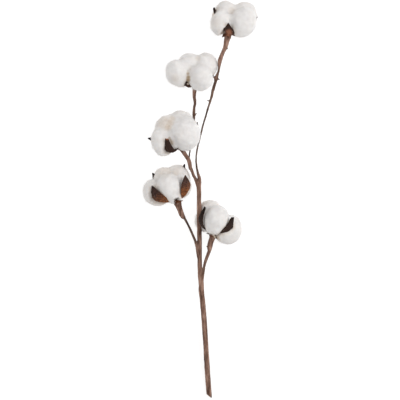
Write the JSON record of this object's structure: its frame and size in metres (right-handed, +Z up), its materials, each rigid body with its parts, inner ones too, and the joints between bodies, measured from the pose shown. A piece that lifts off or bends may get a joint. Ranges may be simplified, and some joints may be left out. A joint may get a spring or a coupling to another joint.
{
  "type": "cut cotton stem with open bolls",
  "caption": "Cut, dried cotton stem lying flat, with branches that each carry an open boll of white lint locks in a dark pointed burr.",
  "frame": {"origin": "on the surface that the stem lies on, under the middle of the whole piece", "axes": "+Y along the stem from its cut end to the top boll, +X to the right seen from above, +Z up from the surface"},
  "size_m": [0.1438, 0.4997, 0.0536],
  "materials": {
    "bark": "matte",
    "burr": "satin",
    "lint": "matte"
  },
  "bodies": {
    "root": {"stem": "bark", "boll_1_burr": "burr", "boll_1_lock_1": "lint", "boll_1_lock_2": "lint", "boll_1_lock_3": "lint", "boll_1_lock_4": "lint", "boll_2_burr": "burr", "boll_2_lock_1": "lint", "boll_2_lock_2": "lint", "boll_2_lock_3": "lint", "boll_2_lock_4": "lint", "boll_3_burr": "burr", "boll_3_lock_1": "lint", "boll_3_lock_2": "lint", "boll_3_lock_3": "lint", "boll_3_lock_4": "lint", "boll_4_burr": "burr", "boll_4_lock_1": "lint", "boll_4_lock_2": "lint", "boll_4_lock_3": "lint", "boll_4_lock_4": "lint", "boll_4_lock_5": "lint", "boll_5_burr": "burr", "boll_5_lock_1": "lint", "boll_5_lock_2": "lint", "boll_5_lock_3": "lint", "boll_5_lock_4": "lint"}
  },
  "joints": []
}
